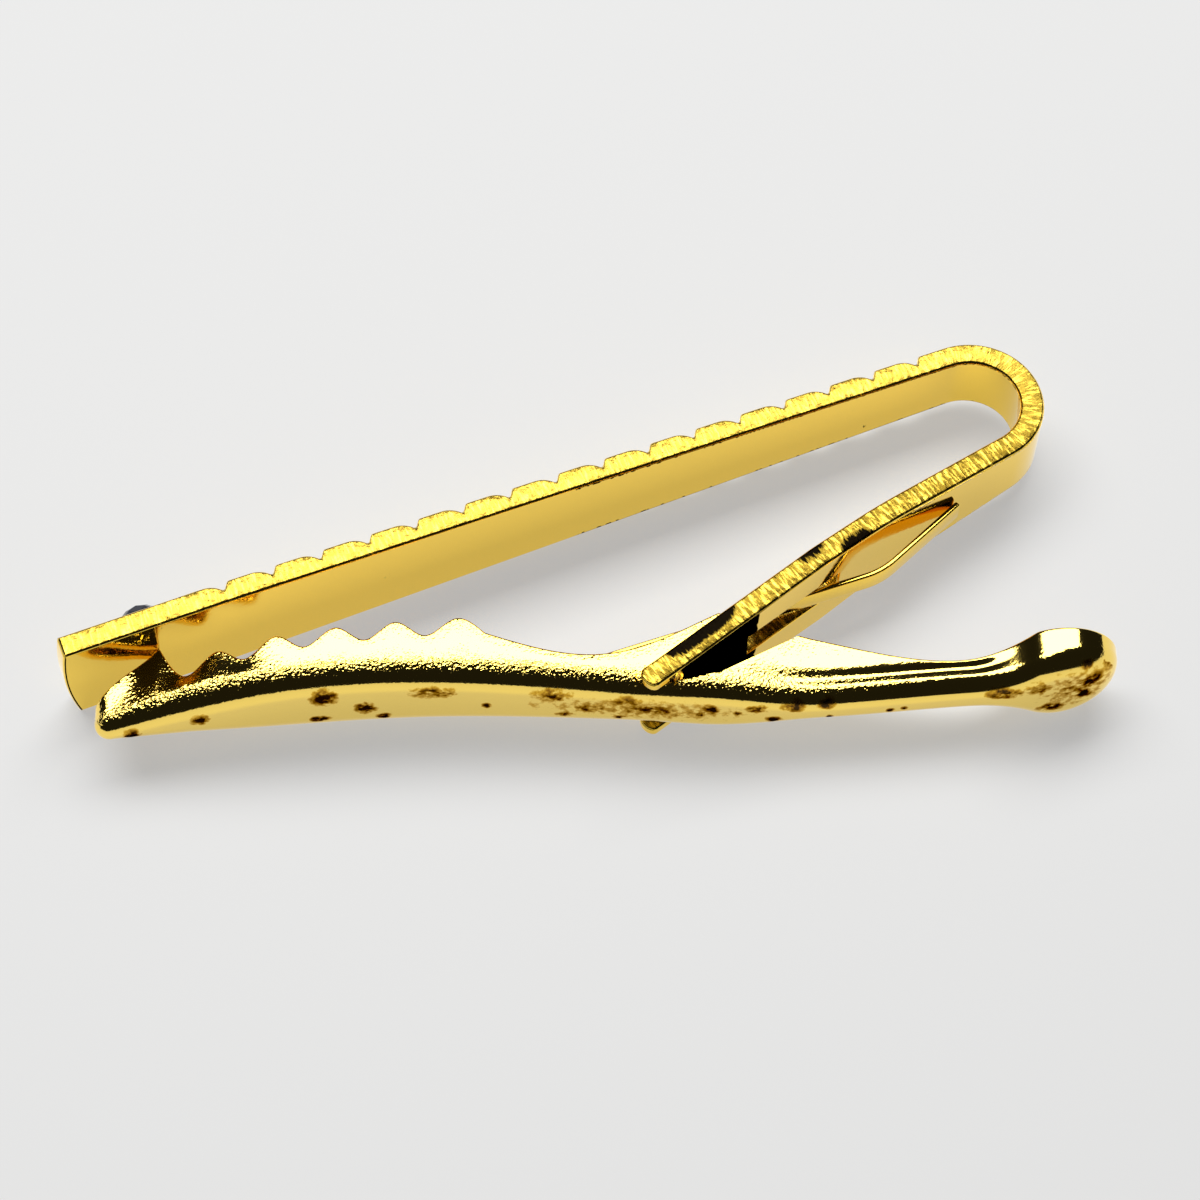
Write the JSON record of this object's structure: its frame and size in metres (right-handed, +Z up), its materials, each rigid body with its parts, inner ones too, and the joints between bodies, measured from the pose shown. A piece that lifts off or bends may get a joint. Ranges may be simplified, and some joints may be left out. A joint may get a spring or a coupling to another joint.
{
  "type": "tie clip",
  "caption": "Gold-plated tie clip: a bent, scalloped front strip with a set stone, and a sprung toothed lever that rocks on the end of the strip's arm.",
  "frame": {"origin": "in the middle of the strip's gauge on the lower cut edge of the front panel, straight under the stone's centre", "axes": "+X along the front bar from the stone towards the bend, +Y out of the decorated front face, +Z up across the strip's width"},
  "size_m": [0.0515, 0.0217, 0.0056],
  "materials": {
    "gold_plate": "polished",
    "gold_spring": "polished",
    "dark_stone": "gloss"
  },
  "bodies": {
    "strip_body": {"front_strip": "gold_plate", "stone_collet": "gold_plate", "stone": "dark_stone"},
    "lever_body": {"lever": "gold_plate", "leaf_spring": "gold_spring"}
  },
  "joints": [
    {"name": "lever_pivot", "type": "hinge", "parent": "strip_body", "child": "lever_body", "pos_m": [0.02296, -0.01171, 0.0028], "axis": [0, 0, 1], "range_deg": [0, 12], "stiffness_Nm_per_rad": 0.3, "springref_deg": -22.92, "deforming": ["leaf_spring"]}
  ]
}
